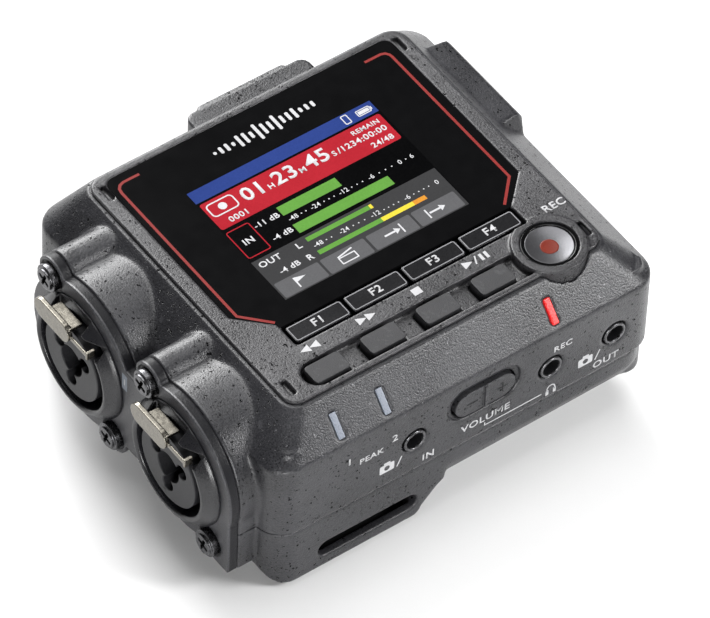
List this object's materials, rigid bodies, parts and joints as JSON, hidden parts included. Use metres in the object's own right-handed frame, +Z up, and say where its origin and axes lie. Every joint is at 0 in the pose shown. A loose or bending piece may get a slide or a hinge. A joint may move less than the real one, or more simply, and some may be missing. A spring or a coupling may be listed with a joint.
{
  "type": "portable field recorder",
  "caption": "Hand-held sound recorder with colour display, sloped case, key row and lobed side plate carrying combo microphone sockets",
  "frame": {"origin": "middle of the underside, on the plane that the rubber feet stand on", "axes": "+X to the right along the display, away from the input sockets; +Y towards the rear edge; +Z up out of the display"},
  "size_m": [0.0966, 0.0802, 0.04],
  "materials": {
    "case": "fine-grained charcoal plastic with dark flecks",
    "deck": "fine-grained grey plastic with dark flecks",
    "flap": "soft matte black",
    "plate": "satin grey coating",
    "collar": "smooth satin black",
    "core": "moulded grey",
    "nickel": "pressed nickel",
    "screw": "dark zinc",
    "steel": "tinned steel",
    "lens": "polished black",
    "display": "polished black",
    "f_key": "semi-gloss black",
    "key": "matte rubber",
    "silver": "satin silver-grey",
    "lamp_off": "translucent pale blue-grey",
    "lamp_on": "glowing red light pipe",
    "rocker": "fine-grained grey",
    "socket": "black moulding",
    "board": "solder mask",
    "brass": "machined",
    "cell": "printed sleeve",
    "foot": "matte"
  },
  "bodies": {
    "case": {"upper_case": "case", "deck_plate": "deck", "lower_case": "case", "card_cover_pin": "steel", "jack_plate": "plate", "combo_jack_1": "collar", "combo_jack_2": "collar", "combo_insert_1": "core", "combo_insert_2": "core", "jack_screws": "screw", "case_screws": "screw", "screen_lens": "lens", "lcd_module": "display", "record_ring": "lens", "peak_led_1": "lamp_off", "peak_led_2": "lamp_off", "record_led": "lamp_on", "volume_switches": "steel", "ext_in_jack": "socket", "headphone_jack": "socket", "line_out_jack": "socket", "main_board": "board", "key_board": "board", "key_switches": "steel", "board_posts": "brass", "usb_port": "steel", "card_socket": "steel", "adapter_port": "socket", "cell_1": "cell", "cell_2": "cell", "cell_3": "cell", "cell_4": "cell", "contacts_plus": "steel", "contacts_minus": "steel", "tripod_bush": "brass", "case_feet": "foot"},
    "f_key_1": {"f_key_1": "f_key"},
    "f_key_2": {"f_key_2": "f_key"},
    "f_key_3": {"f_key_3": "f_key"},
    "f_key_4": {"f_key_4": "f_key"},
    "rewind": {"rewind_key": "key"},
    "forward": {"forward_key": "key"},
    "stop": {"stop_key": "key"},
    "play": {"play_key": "key"},
    "record": {"record_button": "silver"},
    "volume": {"volume_rocker": "rocker"},
    "latch_1": {"latch_1": "nickel"},
    "latch_2": {"latch_2": "nickel"},
    "power": {"power_switch": "rocker"},
    "card_flap": {"card_cover": "flap"},
    "adapter_flap": {"adapter_cover": "flap"},
    "door": {"battery_door": "case", "door_feet": "foot"}
  },
  "joints": [
    {"name": "f_key_1_press", "type": "slide", "parent": "case", "child": "f_key_1", "axis": [0, 0, -1], "range_m": [0, 0.0004], "stiffness_N_per_m": 600, "springref_m": -0.001},
    {"name": "f_key_2_press", "type": "slide", "parent": "case", "child": "f_key_2", "axis": [0, 0, -1], "range_m": [0, 0.0004], "stiffness_N_per_m": 600, "springref_m": -0.001},
    {"name": "f_key_3_press", "type": "slide", "parent": "case", "child": "f_key_3", "axis": [0, 0, -1], "range_m": [0, 0.0004], "stiffness_N_per_m": 600, "springref_m": -0.001},
    {"name": "f_key_4_press", "type": "slide", "parent": "case", "child": "f_key_4", "axis": [0, 0, -1], "range_m": [0, 0.0004], "stiffness_N_per_m": 600, "springref_m": -0.001},
    {"name": "rewind_press", "type": "slide", "parent": "case", "child": "rewind", "axis": [0, 0, -1], "range_m": [0, 0.0009], "stiffness_N_per_m": 400, "springref_m": -0.001},
    {"name": "forward_press", "type": "slide", "parent": "case", "child": "forward", "axis": [0, 0, -1], "range_m": [0, 0.0009], "stiffness_N_per_m": 400, "springref_m": -0.001},
    {"name": "stop_press", "type": "slide", "parent": "case", "child": "stop", "axis": [0, 0, -1], "range_m": [0, 0.0009], "stiffness_N_per_m": 400, "springref_m": -0.001},
    {"name": "play_press", "type": "slide", "parent": "case", "child": "play", "axis": [0, 0, -1], "range_m": [0, 0.0009], "stiffness_N_per_m": 400, "springref_m": -0.001},
    {"name": "record_press", "type": "slide", "parent": "case", "child": "record", "axis": [0, 0, -1], "range_m": [0, 0.0009], "stiffness_N_per_m": 400, "springref_m": -0.001},
    {"name": "volume_rock", "type": "hinge", "parent": "case", "child": "volume", "pos_m": [0.0085, -0.0371, 0.02435], "axis": [0, 0, 1], "range_deg": [-4, 4], "stiffness_Nm_per_rad": 0.02},
    {"name": "latch_1_push", "type": "slide", "parent": "case", "child": "latch_1", "axis": [1, 0, 0], "range_m": [0, 0.0007], "stiffness_N_per_m": 500, "springref_m": -0.001},
    {"name": "latch_2_push", "type": "slide", "parent": "case", "child": "latch_2", "axis": [1, 0, 0], "range_m": [0, 0.0007], "stiffness_N_per_m": 500, "springref_m": -0.001},
    {"name": "power_slide", "type": "slide", "parent": "case", "child": "power", "axis": [0, 1, 0], "range_m": [-0.002, 0.002]},
    {"name": "card_flap_swing", "type": "hinge", "parent": "case", "child": "card_flap", "pos_m": [0.04775, 0.0205, 0.028], "axis": [0, 0, 1], "range_deg": [0, 110]},
    {"name": "adapter_flap_pull", "type": "slide", "parent": "case", "child": "adapter_flap", "axis": [0, 1, 0], "range_m": [0, 0.008]},
    {"name": "door_slide", "type": "slide", "parent": "case", "child": "door", "axis": [0, 1, 0], "range_m": [0, 0.012]}
  ]
}
